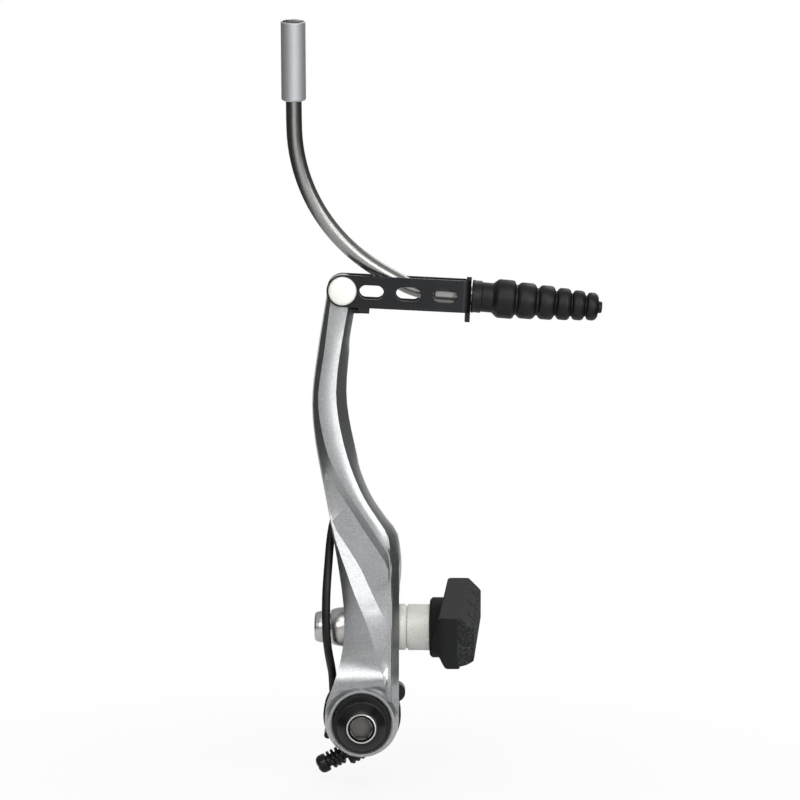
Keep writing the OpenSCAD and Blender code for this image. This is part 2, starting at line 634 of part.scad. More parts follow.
// Puts its children on the nose's axis: local X runs out through the link, local Z up
module on_nose() {
    translate(nose_at) rotate([0, nose_slope, 0]) children();
}

module noodle_tip() {
    color(steel) on_nose() difference() {
        turned_x([
            [0, -tube_start - 2.6], [tube_r + 0.65, -tube_start - 2.6], [tube_r + 0.85, -tube_start - 2.4],
            [tube_r + 0.85, -shoulder_back], [3.25, -shoulder_back], [3.25, -shoulder_back + 0.9],
            [2.9, -shoulder_back + 0.9], [2.9, -link_t - 0.25], [nose_r, -link_t - 0.25],
            [nose_r, nose_out - 0.9], [nose_r - 0.6, nose_out], [0, nose_out]]);
        rod_x(tube_r + seat_gap, -30, -tube_start);
        rod_x(liner_bore, -30, 10);
    }
}

// Route of the noodle in its own leaning plane, from the nose up to the ferrule
big_bend = 90 - nose_slope - nose_bend + top_tilt;
module on_noodle() {
    translate(nose_at) rotate([0, nose_slope, 0]) rotate([noodle_lean, 0, 0]) children();
}
near_run = 2.7;
function bend_from(p, radius, start, angle, steps) =
    [for (i = [1:steps])
        let (t = start + angle * i / steps)
        p + radius * [sin(start) - sin(t), 0, cos(start) - cos(t)]];
function run_from(p, angle, length) = p + length * [-cos(angle), 0, sin(angle)];
bend_start = [-tube_start - near_run, 0, 0];
first_bend = bend_from(bend_start, nose_bend_r, 0, nose_bend, 3);
mid_end = run_from(first_bend[2], nose_bend, mid_run);
second_bend = bend_from(mid_end, big_bend_r, nose_bend, big_bend, 13);
tube_line = concat([[-tube_start, 0, 0], bend_start], first_bend, [mid_end], second_bend,
                   [run_from(second_bend[12], nose_bend + big_bend, top_run + 6)]);
tube_guides = [for (p = tube_line) [0, 1, 0]];

// Puts its children at the lower end of the ferrule, with local X down the tube
module at_ferrule() {
    on_noodle() translate([-tube_start - near_run, 0, 0]) at_bend(nose_bend_r, nose_bend)
        translate([-mid_run, 0, 0]) at_bend(big_bend_r, big_bend) translate([-top_run, 0, 0]) children();
}
module at_bend(radius, angle) {
    translate([0, 0, radius]) rotate([0, angle, 0]) translate([0, 0, -radius]) children();
}

module noodle_tube() {
    color(steel) on_noodle() pipe(tube_line, tube_r, tube_bore, tube_guides, 16);
}

module noodle_liner() {
    color(black) on_noodle() pipe(tube_line, tube_bore - seat_gap, liner_bore, tube_guides, 8);
}

module noodle_ferrule() {
    mouth = -ferrule_len;
    color(pale_alloy) at_ferrule() difference() {
        turned_x([[0, 0], [ferrule_r - 0.3, 0], [ferrule_r, -0.3], [ferrule_r, mouth + 0.2],
                  [ferrule_r - 0.2, mouth], [0, mouth]]);
        rod_x(tube_r + seat_gap, -6 - face_gap, cut);
        rod_x(liner_bore, mouth, 0);
        rod_x(socket_r, mouth - cut, mouth + socket_len);
    }
}

// The boot: a lip, a neck and rounded ribs that get smaller, as [distance, radius]
boot_drawn = 32.4;
boot_profile = [
    [0.25, 4], [0.6, 4.1], [1, 3.95], [2.6, 3.95], [2.75, 3.6], [2.95, 3.65], [5.4, 3.65],
    [6.4, 4.55], [6.9, 4.78], [10.2, 4.78], [10.7, 4.5], [11, 3.75], [11.4, 3.7],
    [11.8, 4.15], [12.4, 4.45], [15.1, 4.45], [15.7, 4.15], [16.2, 3.4], [16.6, 3.4],
    [17, 3.95], [17.5, 4.2], [19.8, 4.2], [20.4, 3.9], [20.8, 3.05], [21.1, 3.05],
    [21.5, 3.7], [22, 3.93], [23.8, 3.93], [24.4, 3.6], [24.7, 2.85], [25, 2.85],
    [25.3, 3.45], [25.8, 3.68], [27.3, 3.68], [27.9, 3.35], [28.2, 2.6], [28.5, 2.6],
    [28.8, 3.25], [29.3, 3.45], [30.3, 3.45], [31, 3.1], [31.4, 2.4], [31.5, 1.5],
    [32.2, 1.43], [32.4, 1.25]];
module boot() {
    k = boot_len / boot_drawn;
    wide = boot_lip_r / 4.1;
    tip = boot_len - 3;
    color(black) on_nose() difference() {
        turned_x(concat([[0, boot_profile[0][0]]], [for (p = boot_profile) [p[1] * wide, p[0] * k]],
                        [[0, boot_len]]));
        turned_x([[0, -cut], [nose_r + face_gap, -cut], [nose_r + face_gap, nose_out + 1],
                  [3.7 * wide - boot_wall, nose_out + 2.2], [3.7 * wide - boot_wall, 16 * k],
                  [2.85 * wide - boot_wall, 24 * k], [boot_hole_r + 0.6, tip - 1], [boot_hole_r, tip],
                  [boot_hole_r, boot_len + cut], [0, boot_len + cut]]);
    }
}

// Puts its children on the shoe's stud: local X along the stud, through the ball centre
module on_stud() {
    translate([ball_x, 0, stud_z]) rotate([0, 0, -toe]) translate([-ball_x, 0, 0]) children();
}
// The ball that both pairs of spherical washers turn on
module ball(r) {
    translate([ball_x, 0, 0]) sphere(r, $fn = 96);
}

module outer_dome_washer() {
    rim = clamp_face + spacer_start - 0.5;
    color(pale_alloy) translate([0, 0, stud_z]) intersection() {
        turned_x([[dome_bore, clamp_face], [washer_r - 0.15, clamp_face], [washer_r, clamp_face + 0.15],
                  [washer_r, rim - 0.4], [washer_r - 0.15, rim], [washer_r - 0.5, rim],
                  [washer_r - 0.5, rim + 3], [dome_bore, rim + 3]]);
        ball(ball_r);
    }
}

module spacer() {
    face = clamp_face + spacer_start;
    color(pale_alloy) on_stud() difference() {
        turned_x([[washer_bore, face], [washer_r - 0.05, face], [washer_r - 0.02, face + 0.1],
                  [washer_r - 0.02, collar_x - 0.1], [washer_r - 0.12, collar_x], [washer_bore, collar_x]]);
        ball(ball_r + face_gap);
    }
}

module inner_dome_washer() {
    color(steel) translate([0, 0, stud_z]) intersection() {
        turned_x([[dome_bore, pocket_x], [cup_r - 0.2, pocket_x], [cup_r - 0.2, cup_end],
                  [dome_bore, cup_end]]);
        ball(inner_ball_r);
    }
}

module outer_cup_washer() {
    color(steel) on_stud() difference() {
        turned_x([[washer_bore, pocket_x - 0.6], [cup_r, pocket_x - 0.6], [cup_r, cup_x - 0.9],
                  [cup_r - 0.08, cup_x - 1.6], [cup_r - 0.25, cup_x - 2.4], [cup_r - 0.45, cup_end + 0.35],
                  [cup_r - 0.7, cup_end], [washer_bore, cup_end]]);
        ball(inner_ball_r + face_gap);
    }
}

module shoe_nut() {
    socket = 2;
    color(steel) on_stud() difference() {
        turned_x([[0, nut_end], [nut_r - 0.8, nut_end], [nut_r - 0.45, nut_end + 0.35],
                  [nut_r - 0.15, nut_end + 1.4], [nut_r, cup_end - 0.4], [nut_r - 0.1, cup_end],
                  [0, cup_end]]);
        rod_x(stud_r + seat_gap, nut_end + socket - 0.1, cup_end + cut);
        translate([nut_end - cut, 0, 0]) rotate([0, 90, 0]) hexagon(hex_af, socket + cut);
    }
}

module shoe_stud() {
    end = back_x + 2.6;
    color(steel) on_stud() turned_x([
        [0, nut_end + 2.1], [stud_r - 0.4, nut_end + 2.1], [stud_r, nut_end + 2.5], [stud_r, end],
        [stud_r + 1, end], [stud_r + 1, end + 0.8], [0, end + 0.8]]);
}

// The plate lies in the rubber, and the stud's head clamps it from inside
module plate_form(grow = 0) {
    front = back_x + 2.6 + grow;
    translate([front - plate_t - 2 * grow, -shoe_len / 2 + 5 - grow, -shoe_down + 1.6 - grow])
        cube([plate_t + 2 * grow, shoe_len - 10 + 2 * grow, shoe_down + shoe_up - 3.2 + 2 * grow]);
}
module backing_plate() {
    color(steel) on_stud() difference() {
        plate_form();
        rod_x(stud_r + seat_gap, back_x, back_x + 5);
    }
}

// Section of the shoe: the rubber of the holding part and, from the crease on, the friction part.
// The friction part stands back a little, and its brake face has a wide chamfer above.
crease_x = back_x + 0.64 * shoe_t;
face_x = back_x + shoe_t;
shoe_inset = 0.3;
function holding_section() = [
    [back_x, 1.2], [back_x + 0.25, 0], [back_x + 0.7, -0.7], [back_x + 1.8, -3.1],
    [back_x + 2.6, -shoe_down + 0.25], [back_x + 3.2, -shoe_down], [crease_x - 0.3, -shoe_down],
    [crease_x, -shoe_down + 0.15], [crease_x, shoe_up], [back_x + 1.4, shoe_up],
    [back_x + 1, shoe_up - 0.4], [back_x, 2.8]];
function friction_section() = [
    [crease_x - 1, -shoe_down + 1], [crease_x - 1, -shoe_down + 0.6], [crease_x + 0.4, -shoe_down + 0.6],
    [crease_x + 1.6, -shoe_down + 0.95], [face_x - 0.6, -shoe_down + 1.6],
    [face_x - 0.15, -shoe_down + 1.85], [face_x, -shoe_down + 2.3], [face_x, shoe_up - 3.1],
    [face_x - 0.2, shoe_up - 2.9],
    [crease_x + 0.3, shoe_up], [crease_x - 1, shoe_up]];

// A bar of the shoe along Y, with its ends rounded as seen from above
module shoe_bar(section, from, to, half, round_from, round_to) {
    intersection() {
        translate([0, half, 0]) rotate([90, 0, 0]) linear_extrude(2 * half) polygon(section);
        translate([0, 0, -20]) linear_extrude(40) for (s = [-1, 1]) scale([1, s]) union() {
            translate([from, 0]) square([to - from, half - max(round_from, round_to)]);
            translate([from + round_from, 0]) square([to - from - round_from - round_to, half]);
            translate([from + round_from, half - round_from]) circle(round_from);
            translate([to - round_to, half - round_to]) circle(round_to);
            translate([from + round_from, 0]) square([1, half - min(round_from, round_to)]);
            translate([to - round_to - 1, 0]) square([1 + round_to, half - round_to]);
        }
    }
}

module shoe_rubber() {
    half = shoe_len / 2;
    groove_pitch = 0.276 * shoe_len;
    notch_pitch = groove_pitch / 3;
    color(black) on_stud() difference() {
        union() {
            shoe_bar(holding_section(), back_x, crease_x, half, 3, 0.6);
            shoe_bar(friction_section(), crease_x - 1, face_x, half - shoe_inset, 0.2, 1.2);
            turned_x([[0, collar_x], [collar_r - 0.6, collar_x], [collar_r, collar_x + 0.6],
                      [collar_r, back_x + 1.4], [0, back_x + 1.4]]);
        }
        for (k = [-1, 0, 1]) translate([face_x - 2.6, k * groove_pitch - 0.7, -10]) cube([4, 1.4, 20]);
        for (k = [-5:5]) if (k % 3 != 0)
            translate([face_x - 0.6, k * notch_pitch - 0.6, -10]) cube([2, 1.2, 20]);
        rod_x(stud_r + seat_gap, collar_x - cut, back_x + 2.6);
        rod_x(stud_r + 1 + seat_gap, back_x + 2.6, back_x + 3.4 + seat_gap);
        plate_form(seat_gap);
    }
}

pivot_bushing();
mounting_bolt();
spring_holder();
stopper_pin();
adjusting_screw();
adjuster_spring();
return_spring();
spring_sleeve();
arm();
spring_peg();
link();
link_rivet();
link_bumper();
noodle_tip();
noodle_tube();
noodle_liner();
noodle_ferrule();
boot();
inner_dome_washer();
outer_dome_washer();
spacer();
outer_cup_washer();
shoe_stud();
backing_plate();
shoe_rubber();
shoe_nut();
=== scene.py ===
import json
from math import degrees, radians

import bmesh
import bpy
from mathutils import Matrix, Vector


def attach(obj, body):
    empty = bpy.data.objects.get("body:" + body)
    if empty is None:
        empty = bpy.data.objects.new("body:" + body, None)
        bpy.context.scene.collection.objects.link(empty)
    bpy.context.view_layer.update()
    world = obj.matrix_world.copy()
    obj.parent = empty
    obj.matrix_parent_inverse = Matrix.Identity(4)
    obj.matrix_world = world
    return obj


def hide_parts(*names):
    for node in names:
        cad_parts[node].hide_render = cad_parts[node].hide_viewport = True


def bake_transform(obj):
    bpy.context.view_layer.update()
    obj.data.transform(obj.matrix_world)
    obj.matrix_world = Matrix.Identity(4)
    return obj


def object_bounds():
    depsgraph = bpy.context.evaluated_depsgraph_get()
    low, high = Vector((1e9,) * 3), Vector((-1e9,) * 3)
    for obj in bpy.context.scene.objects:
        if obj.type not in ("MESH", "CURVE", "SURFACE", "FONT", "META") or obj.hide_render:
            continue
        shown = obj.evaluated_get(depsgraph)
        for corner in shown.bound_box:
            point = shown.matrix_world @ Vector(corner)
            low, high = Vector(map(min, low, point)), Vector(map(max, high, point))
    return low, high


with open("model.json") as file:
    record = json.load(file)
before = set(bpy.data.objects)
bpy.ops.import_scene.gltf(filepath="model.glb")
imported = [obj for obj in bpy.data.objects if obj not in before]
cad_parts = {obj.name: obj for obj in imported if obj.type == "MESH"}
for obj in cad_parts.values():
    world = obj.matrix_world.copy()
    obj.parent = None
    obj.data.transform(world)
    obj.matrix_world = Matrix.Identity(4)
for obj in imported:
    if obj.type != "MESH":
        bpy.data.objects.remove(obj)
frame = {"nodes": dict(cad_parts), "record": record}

# %% [markdown]
# One arm of a linear-pull bicycle brake. The CAD model gives every piece its true shape and place,
# in metres, with X towards the rim, Y towards the bicycle frame and Z up. This lesson dresses those
# pieces: it rounds their edges the way casting, turning and moulding do, gives each its real
# material, and lights them as a product photograph would. The size of the undressed model is taken
# first, and the paper floor is laid just below it.

cad_low, cad_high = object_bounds()
record = frame["record"]
body_of_node = {node: body for body, nodes in record["behaviour"]["bodies"].items() for node in nodes}
MM = 0.001
print("CAD box in mm:", [round(v / MM, 1) for v in (*cad_low, *cad_high)])

# %% [markdown]
# Colours are written as the hex values of a paint chart, which are sRGB. Blender's shaders want
# linear light, so one function turns the one into the other. A second small function adds a shader
# node with its settings, its fixed values and its links in one line, which keeps each material
# short enough to be read at a glance.

# %% Colour and node helpers
def linear(hex_colour):
    """A hex colour as linear RGBA."""
    parts = [int(hex_colour[i:i + 2], 16) / 255 for i in (1, 3, 5)]
    return [c / 12.92 if c <= 0.04045 else ((c + 0.055) / 1.055) ** 2.4 for c in parts] + [1.0]


def add(material, kind, values=None, links=None, **settings):
    """Adds a node: settings are its options, values fill its sockets, links join them to outputs.

    A Mix node takes its two colours at the sockets 6 and 7 and gives its result at the output 2.
    """
    node = material.node_tree.nodes.new(kind)
    for name, value in settings.items():
        setattr(node, name, value)
    for socket, value in (values or {}).items():
        node.inputs[socket].default_value = value
    for socket, output in (links or {}).items():
        material.node_tree.links.new(output, node.inputs[socket])
    return node


def start_material(name, hex_colour, roughness, metallic=0.0):
    """A named material with its base colour, and the shader node that the rest joins on to."""
    material = bpy.data.materials.new(name)
    material.use_nodes = True
    shader = material.node_tree.nodes["Principled BSDF"]
    shader.inputs["Base Color"].default_value = linear(hex_colour)
    shader.inputs["Roughness"].default_value = roughness
    shader.inputs["Metallic"].default_value = metallic
    return material, shader


def per_metre(size_mm):
    """Texture scale at which one cell of a noise or cell pattern is as wide as size_mm."""
    return 1 / (size_mm * MM)


print("mid grey in linear light:", [round(c, 3) for c in linear("#808080")])

# %% [markdown]
# The arm is cast aluminium under silver metallic paint. Such paint holds tiny aluminium flakes in
# clear lacquer, and each flake leans its own way, so the surface sparkles in fine grains and has a
# soft, broad highlight. A cell pattern tilts each grain, and it also paints each grain lighter or
# darker in the colour, which is a painted sparkle. Real flakes are about 0.03 mm, too fine to show
# here, so they are drawn at 0.3 mm, and a slow noise under them gives the slight waves that a
# casting keeps under its paint.

# %% Silver paint of the arm
FLAKE_MM = 0.3
CAST_WAVE_MM = 7.0
PAINT_GREY = "#A9ABAC"
silver_paint, shader = start_material(
    "silver metallic paint on cast aluminium", PAINT_GREY, roughness=0.34, metallic=0.94)
place = add(silver_paint, "ShaderNodeTexCoord")
flakes = add(silver_paint, "ShaderNodeTexVoronoi", {"Scale": per_metre(FLAKE_MM)},
             {"Vector": place.outputs["Object"]})
# Each flake's own brightness in the colour is painted sparkle.
painted_glints = add(silver_paint, "ShaderNodeMapRange",
             {"From Min": 0.0, "From Max": 1.0, "To Min": 0.78, "To Max": 1.12},
             {"Value": flakes.outputs["Color"]})
tint = add(silver_paint, "ShaderNodeMix", {6: linear(PAINT_GREY), "Factor": 1.0},
           {7: painted_glints.outputs["Result"]}, data_type="RGBA", blend_type="MULTIPLY")
waves = add(silver_paint, "ShaderNodeTexNoise", {"Scale": per_metre(CAST_WAVE_MM), "Detail": 2.0},
            {"Vector": place.outputs["Object"]})
wavy = add(silver_paint, "ShaderNodeBump", {"Strength": 0.25, "Distance": 0.1 * MM},
           {"Height": waves.outputs["Fac"]})
sparkle = add(silver_paint, "ShaderNodeBump", {"Strength": 0.25, "Distance": 0.02 * MM},
              {"Height": flakes.outputs["Distance"], "Normal": wavy.outputs["Normal"]})
silver_paint.node_tree.links.new(tint.outputs[2], shader.inputs["Base Color"])
silver_paint.node_tree.links.new(sparkle.outputs["Normal"], shader.inputs["Normal"])
shader.inputs["Coat Weight"].default_value = 0.35
shader.inputs["Coat Roughness"].default_value = 0.12
print("made", silver_paint.name)

# %% [markdown]
# The bolt, the tension screw and the spring wire are steel under black electrophoretic paint, which
# is thin and even, and so shows a satin sheen with hardly any texture. Only a fine noise in the
# roughness keeps them from looking like plastic.

# %% Satin black steel
BLACK_GRAIN_MM = 0.6
black_coat, shader = start_material("black coat on steel", "#0E0E0F", roughness=0.3)
place = add(black_coat, "ShaderNodeTexCoord")
grain = add(black_coat, "ShaderNodeTexNoise", {"Scale": per_metre(BLACK_GRAIN_MM), "Detail": 3.0},
            {"Vector": place.outputs["Object"]})
sheen = add(black_coat, "ShaderNodeMapRange", {"To Min": 0.24, "To Max": 0.4},
            {"Value": grain.outputs["Fac"]})
black_coat.node_tree.links.new(sheen.outputs["Result"], shader.inputs["Roughness"])
shader.inputs["Specular IOR Level"].default_value = 0.35
print("made", black_coat.name)

# %% [markdown]
# Turned steel carries the fine rings that the cutting tool leaves round its axis. The turned pieces
# here lie on several axes, so rings drawn round one of them would be wrong on the others, and at this
# size rings only break up the highlight. A fine noise in the roughness does that on all of them.

# %% Bright turned steel
TOOL_MARK_MM = 0.35
bright_steel, shader = start_material(
    "turned steel, nickel plated", "#C6C5C2", roughness=0.24, metallic=1.0)
place = add(bright_steel, "ShaderNodeTexCoord")
marks = add(bright_steel, "ShaderNodeTexNoise", {"Scale": per_metre(TOOL_MARK_MM), "Detail": 2.0},
            {"Vector": place.outputs["Object"]})
polish = add(bright_steel, "ShaderNodeMapRange", {"To Min": 0.24, "To Max": 0.38},
             {"Value": marks.outputs["Fac"]})
bright_steel.node_tree.links.new(polish.outputs["Result"], shader.inputs["Roughness"])
print("made", bright_steel.name)

# %% [markdown]
# The link is folded from steel sheet with a dark chromate finish, which dries a little cloudy.
# The narrow bevels round the sheet's edges get a lighter steel of their own, which is a painted
# highlight along every edge. The rivet is aluminium, tumbled until it is pale and matt.

# %% Dark link steel, its painted edge highlight and the rivet
CLOUD_MM = 3.0
dark_link, shader = start_material(
    "dark chromated steel sheet", "#2C2D2F", roughness=0.33, metallic=0.9)
place = add(dark_link, "ShaderNodeTexCoord")
stains = add(dark_link, "ShaderNodeTexNoise", {"Scale": per_metre(CLOUD_MM), "Detail": 4.0},
             {"Vector": place.outputs["Object"]})
cloudy = add(dark_link, "ShaderNodeMapRange", {"To Min": 0.26, "To Max": 0.44},
             {"Value": stains.outputs["Fac"]})
dark_link.node_tree.links.new(cloudy.outputs["Result"], shader.inputs["Roughness"])
# A lighter steel on the bevels paints a highlight along the link's edges.
edge_highlight_steel, _ = start_material("lighter steel as painted edge highlight", "#C4C5C6", roughness=0.28, metallic=1.0)
silver_rivet, _ = start_material("tumbled aluminium rivet", "#F3F3EC", roughness=0.55, metallic=0.3)
print("made", dark_link.name, "and", edge_highlight_steel.name, "and", silver_rivet.name)

# %% [markdown]
# The noodle is a stainless tube, drawn and then bent, so it has a polished, rather dark surface with
# a long clean streak of light. Its ferrule is turned aluminium, tumbled to a matt light grey. The
# tumbling leaves pits finer than a tenth of a millimetre, drawn coarser here.

# %% Noodle tube and ferrule
DRAWING_MM = 1.2
TUMBLED_PIT_MM = 0.35
noodle_steel, shader = start_material(
    "drawn stainless tube", "#9A9A98", roughness=0.3, metallic=1.0)
place = add(noodle_steel, "ShaderNodeTexCoord")
drawn = add(noodle_steel, "ShaderNodeTexNoise", {"Scale": per_metre(DRAWING_MM), "Detail": 3.0},
            {"Vector": place.outputs["Object"]})
dulled = add(noodle_steel, "ShaderNodeMapRange", {"To Min": 0.28, "To Max": 0.32},
             {"Value": drawn.outputs["Fac"]})
noodle_steel.node_tree.links.new(dulled.outputs["Result"], shader.inputs["Roughness"])

ferrule_alloy, shader = start_material(
    "tumbled aluminium ferrule", "#C4C6C9", roughness=0.5, metallic=0.7)
place = add(ferrule_alloy, "ShaderNodeTexCoord")
pits = add(ferrule_alloy, "ShaderNodeTexNoise", {"Scale": per_metre(TUMBLED_PIT_MM), "Detail": 2.0},
           {"Vector": place.outputs["Object"]})
matt = add(ferrule_alloy, "ShaderNodeBump", {"Strength": 0.2, "Distance": 0.02 * MM},
           {"Height": pits.outputs["Fac"]})
ferrule_alloy.node_tree.links.new(matt.outputs["Normal"], shader.inputs["Normal"])
print("made", noodle_steel.name, "and", ferrule_alloy.name)

# %% [markdown]
# The large spherical washers are aluminium, blasted to an even frosted grey that scatters light.
# The grit leaves pits of about 0.1 mm, drawn a little coarser here.

# %% Blasted washer aluminium
GRIT_MM = 0.25
FROST_GREY = "#E2E2DC"
blasted_alloy, shader = start_material(
    "blasted aluminium", FROST_GREY, roughness=0.6, metallic=0.35)
place = add(blasted_alloy, "ShaderNodeTexCoord")
grit = add(blasted_alloy, "ShaderNodeTexNoise", {"Scale": per_metre(GRIT_MM), "Detail": 3.0},
           {"Vector": place.outputs["Object"]})
frosted = add(blasted_alloy, "ShaderNodeBump", {"Strength": 0.6, "Distance": 0.04 * MM},
              {"Height": grit.outputs["Fac"]})
specks = add(blasted_alloy, "ShaderNodeMapRange",
             {"From Min": 0.3, "From Max": 0.7, "To Min": 0.8, "To Max": 1.1},
             {"Value": grit.outputs["Fac"]})
specked = add(blasted_alloy, "ShaderNodeMix", {6: linear(FROST_GREY), "Factor": 1.0},
              {7: specks.outputs["Result"]}, data_type="RGBA", blend_type="MULTIPLY")
blasted_alloy.node_tree.links.new(specked.outputs[2], shader.inputs["Base Color"])
blasted_alloy.node_tree.links.new(frosted.outputs["Normal"], shader.inputs["Normal"])
print("made", blasted_alloy.name)

# %% [markdown]
# Three black moulded materials stand side by side, and only their surface tells them apart. The
# boot is smooth moulded rubber with a soft sheen. The shoe's holding part is a stiffer rubber, dull
# from its mould. The spring holder is glass-filled nylon, a little shinier and finely speckled.
# The liner inside the noodle is a slippery dark plastic, and only its end shows.

# %% Black rubber and nylon
BOOT_SKIN_MM = 0.5
MOULD_GRAIN_MM = 0.6
GLASS_SPECK_MM = 0.4
boot_rubber, shader = start_material("smooth moulded rubber", "#0F0F10", roughness=0.46)
shader.inputs["Specular IOR Level"].default_value = 0.3
place = add(boot_rubber, "ShaderNodeTexCoord")
skin = add(boot_rubber, "ShaderNodeTexNoise", {"Scale": per_metre(BOOT_SKIN_MM), "Detail": 3.0},
           {"Vector": place.outputs["Object"]})
supple = add(boot_rubber, "ShaderNodeBump", {"Strength": 0.15, "Distance": 0.03 * MM},
             {"Height": skin.outputs["Fac"]})
boot_rubber.node_tree.links.new(supple.outputs["Normal"], shader.inputs["Normal"])

shoe_compound, shader = start_material("moulded brake rubber", "#131415", roughness=0.75)
shader.inputs["Specular IOR Level"].default_value = 0.22
place = add(shoe_compound, "ShaderNodeTexCoord")
orange_peel = add(shoe_compound, "ShaderNodeTexNoise",
                  {"Scale": per_metre(MOULD_GRAIN_MM), "Detail": 5.0},
                  {"Vector": place.outputs["Object"]})
rough = add(shoe_compound, "ShaderNodeBump", {"Strength": 0.3, "Distance": 0.05 * MM},
            {"Height": orange_peel.outputs["Fac"]})
shoe_compound.node_tree.links.new(rough.outputs["Normal"], shader.inputs["Normal"])

holder_nylon, shader = start_material("glass filled nylon", "#0F0F10", roughness=0.38)
shader.inputs["Specular IOR Level"].default_value = 0.35
place = add(holder_nylon, "ShaderNodeTexCoord")
speckle = add(holder_nylon, "ShaderNodeTexNoise",
              {"Scale": per_metre(GLASS_SPECK_MM), "Detail": 2.0},
              {"Vector": place.outputs["Object"]})
glassy = add(holder_nylon, "ShaderNodeMapRange", {"To Min": 0.3, "To Max": 0.5},
             {"Value": speckle.outputs["Fac"]})
holder_nylon.node_tree.links.new(glassy.outputs["Result"], shader.inputs["Roughness"])
liner_plastic, _ = start_material("low friction liner plastic", "#3A3A3A", roughness=0.35)
print("made", boot_rubber.name, "and", shoe_compound.name)
print("made", holder_nylon.name, "and", liner_plastic.name)

# %% [markdown]
# Real edges are never razor sharp: paint pulls back from them, tools break them and moulds round
# them, and the thin line of light that they catch is what makes a model look real. Each piece is
# made from its CAD solid in the same way. Its mesh is copied, the triangles on flat faces are joined,
# and a bevel modifier rounds the sharp edges only. Modelling each piece again by hand would give the
# same shape with more room for mistakes, so the CAD solid is the better start.
#
# Bent tube and wire have no flat faces. Their triangles are paired and subdivided once instead, which
# makes them rounder. On the arm's front a long facet meets the flat beside it at a low angle that
# would be shaded away as a curve, so along that border a lower angle already counts as an edge.

# %% Dress a CAD solid with rounded edges
SHARP = radians(28)
FACET_SHARP = radians(13)
BORDER_AT_ZERO_MM, BORDER_LEAN = 18.6, -0.464
BORDER_REACH_MM = 1.5
BORDER_FOOT_MM = 25
ARM_FRONT_MM = -6
WELD = 0.002 * MM
FLAT = radians(0.5)
PAIR_ON_FLATS, PAIR_ON_WIRE, PAIR_SHAPE = radians(12), radians(30), radians(60)


def same_crease(angle):
    """An edge rule that asks for one angle between two faces all over a piece."""
    return lambda middle: angle


def cast_crease(middle):
    """The arm's edge rule, with its lower angle along the border of the long facet."""
    x, y, z = middle / MM
    border_x = BORDER_AT_ZERO_MM + BORDER_LEAN * z
    on_front = y < ARM_FRONT_MM and z > BORDER_FOOT_MM
    return FACET_SHARP if on_front and abs(x - border_x) < BORDER_REACH_MM else SHARP


def welded_copy(node):
    """A CAD node's mesh and its editable shape, without the flat normals that it was stored with."""
    mesh = frame["nodes"][node].data.copy()
    mesh.name = node + "_skin"
    stored = mesh.attributes.get("custom_normal")
    if stored:
        mesh.attributes.remove(stored)
    shape = bmesh.new()
    shape.from_mesh(mesh)
    bmesh.ops.remove_doubles(shape, verts=shape.verts, dist=WELD)
    return mesh, shape


def make_piece(node, mesh, shape, material, crease):
    """Shades the shape smooth between its sharp edges and makes it an object of one material."""
    crease_layer = shape.edges.layers.float.new("crease_edge")
    for face in shape.faces:
        face.smooth = True
        face.material_index = 0
    for edge in shape.edges:
        middle = (edge.verts[0].co + edge.verts[1].co) / 2
        edge.smooth = len(edge.link_faces) == 2 and edge.calc_face_angle() < crease(middle)
        edge[crease_layer] = 0.0 if edge.smooth else 1.0
    shape.to_mesh(mesh)
    shape.free()
    mesh.materials.clear()
    mesh.materials.append(material)
    piece = bpy.data.objects.new(node + "_dressed", mesh)
    bpy.context.collection.objects.link(piece)
    return piece


def dressed(node, material, round_mm, edge_material=None, crease=same_crease(SHARP)):
    """A copy of a CAD node with joined faces and rounded edges, which then stands for the node."""
    mesh, shape = welded_copy(node)
    if round_mm:
        bmesh.ops.dissolve_limit(shape, angle_limit=FLAT, verts=shape.verts, edges=shape.edges)
    bmesh.ops.join_triangles(shape, faces=[f for f in shape.faces if len(f.verts) == 3],
                             angle_face_threshold=PAIR_ON_FLATS if round_mm else PAIR_ON_WIRE,
                             angle_shape_threshold=PAIR_SHAPE)
    piece = make_piece(node, mesh, shape, material, crease)
    if round_mm:
        rounding = piece.modifiers.new("rounded edges", "BEVEL")
        rounding.width = round_mm * MM
        rounding.segments = 2
        rounding.limit_method = "ANGLE"
        rounding.angle_limit = SHARP
        rounding.harden_normals = True
        if edge_material:
            mesh.materials.append(edge_material)
            rounding.material = 1
    else:
        finer = piece.modifiers.new("rounder wire", "SUBSURF")
        finer.levels = finer.render_levels = 1
    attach(piece, body_of_node[node])
    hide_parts(node)
    return piece


print("edges from", round(degrees(SHARP)), "degrees, by the facet from", round(degrees(FACET_SHARP)))

# %% [markdown]
# Cast, turned, folded and moulded pieces differ in how far their edges are rounded: paint on a
# casting gives the widest edge, the moulded shoe the next, and turned steel a narrow one. So each
# piece gets its finish and its own rounding in millimetres from one short table. Wires, tubes and
# the plain peg have 0: they are made rounder, not bevelled.

